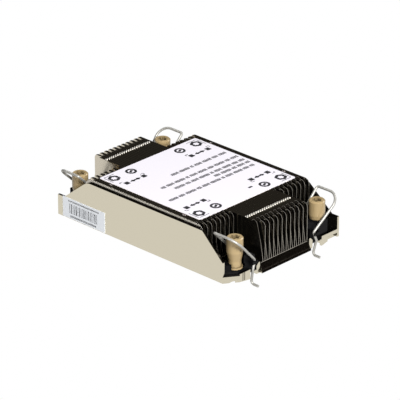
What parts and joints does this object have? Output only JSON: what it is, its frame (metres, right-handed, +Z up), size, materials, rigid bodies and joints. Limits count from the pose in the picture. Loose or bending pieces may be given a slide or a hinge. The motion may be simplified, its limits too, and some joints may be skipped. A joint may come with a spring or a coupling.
{
  "type": "passive server cpu heatsink",
  "caption": "Low passive processor heatsink: folded-fin stack on a flat base in a walled metal tray, with captive nuts and tilting spring wires at the corners.",
  "frame": {"origin": "centre of the face that touches the processor", "axes": "+Z up, away from the processor; +X along the fins and the air flow, towards the front end; +Y to the left"},
  "size_m": [0.1236, 0.0781, 0.0314],
  "materials": {
    "tray_nickel": "satin nickel plate",
    "base_metal": "satin nickel plate",
    "fin_dark": "satin nickel plate",
    "nut_plastic": "satin moulded",
    "cage_plastic": "matte moulded",
    "wire_steel": "bright spring wire",
    "label_white": "printed film",
    "sticker_white": "printed film"
  },
  "bodies": {
    "frame": {"tray": "tray_nickel", "base_plate": "base_metal", "fin_stack_centre": "fin_dark", "fin_stack_left": "fin_dark", "fin_stack_right": "fin_dark", "end_fin": "fin_dark", "top_label": "label_white", "side_sticker": "sticker_white", "nut_cage_front_left": "cage_plastic", "nut_cage_front_right": "cage_plastic", "nut_cage_rear_left": "cage_plastic", "nut_cage_rear_right": "cage_plastic"},
    "nut_front_left": {"captive_nut_front_left": "nut_plastic"},
    "wire_front_left": {"tilt_wire_front_left": "wire_steel"},
    "nut_front_right": {"captive_nut_front_right": "nut_plastic"},
    "wire_front_right": {"tilt_wire_front_right": "wire_steel"},
    "nut_rear_left": {"captive_nut_rear_left": "nut_plastic"},
    "wire_rear_left": {"tilt_wire_rear_left": "wire_steel"},
    "nut_rear_right": {"captive_nut_rear_right": "nut_plastic"},
    "wire_rear_right": {"tilt_wire_rear_right": "wire_steel"}
  },
  "joints": [
    {"name": "nut_spin_front_left", "type": "hinge", "parent": "frame", "child": "nut_front_left", "pos_m": [0.053, 0.0292, 0.0128], "axis": [0, 0, 1], "continuous": true},
    {"name": "nut_spin_front_right", "type": "hinge", "parent": "frame", "child": "nut_front_right", "pos_m": [0.053, -0.0292, 0.0128], "axis": [0, 0, 1], "continuous": true},
    {"name": "nut_spin_rear_left", "type": "hinge", "parent": "frame", "child": "nut_rear_left", "pos_m": [-0.053, 0.0292, 0.0128], "axis": [0, 0, 1], "continuous": true},
    {"name": "nut_spin_rear_right", "type": "hinge", "parent": "frame", "child": "nut_rear_right", "pos_m": [-0.053, -0.0292, 0.0128], "axis": [0, 0, 1], "continuous": true},
    {"name": "wire_tilt_front_left", "type": "hinge", "parent": "frame", "child": "wire_front_left", "pos_m": [0.0515, 0.0213, 0.0087], "axis": [1, 0, 0], "range_deg": [-10, 8]},
    {"name": "wire_tilt_front_right", "type": "hinge", "parent": "frame", "child": "wire_front_right", "pos_m": [0.0515, -0.0213, 0.0087], "axis": [1, 0, 0], "range_deg": [-8, 10]},
    {"name": "wire_tilt_rear_left", "type": "hinge", "parent": "frame", "child": "wire_rear_left", "pos_m": [-0.0515, 0.0213, 0.0087], "axis": [1, 0, 0], "range_deg": [-10, 8]},
    {"name": "wire_tilt_rear_right", "type": "hinge", "parent": "frame", "child": "wire_rear_right", "pos_m": [-0.0515, -0.0213, 0.0087], "axis": [1, 0, 0], "range_deg": [-8, 10]}
  ]
}
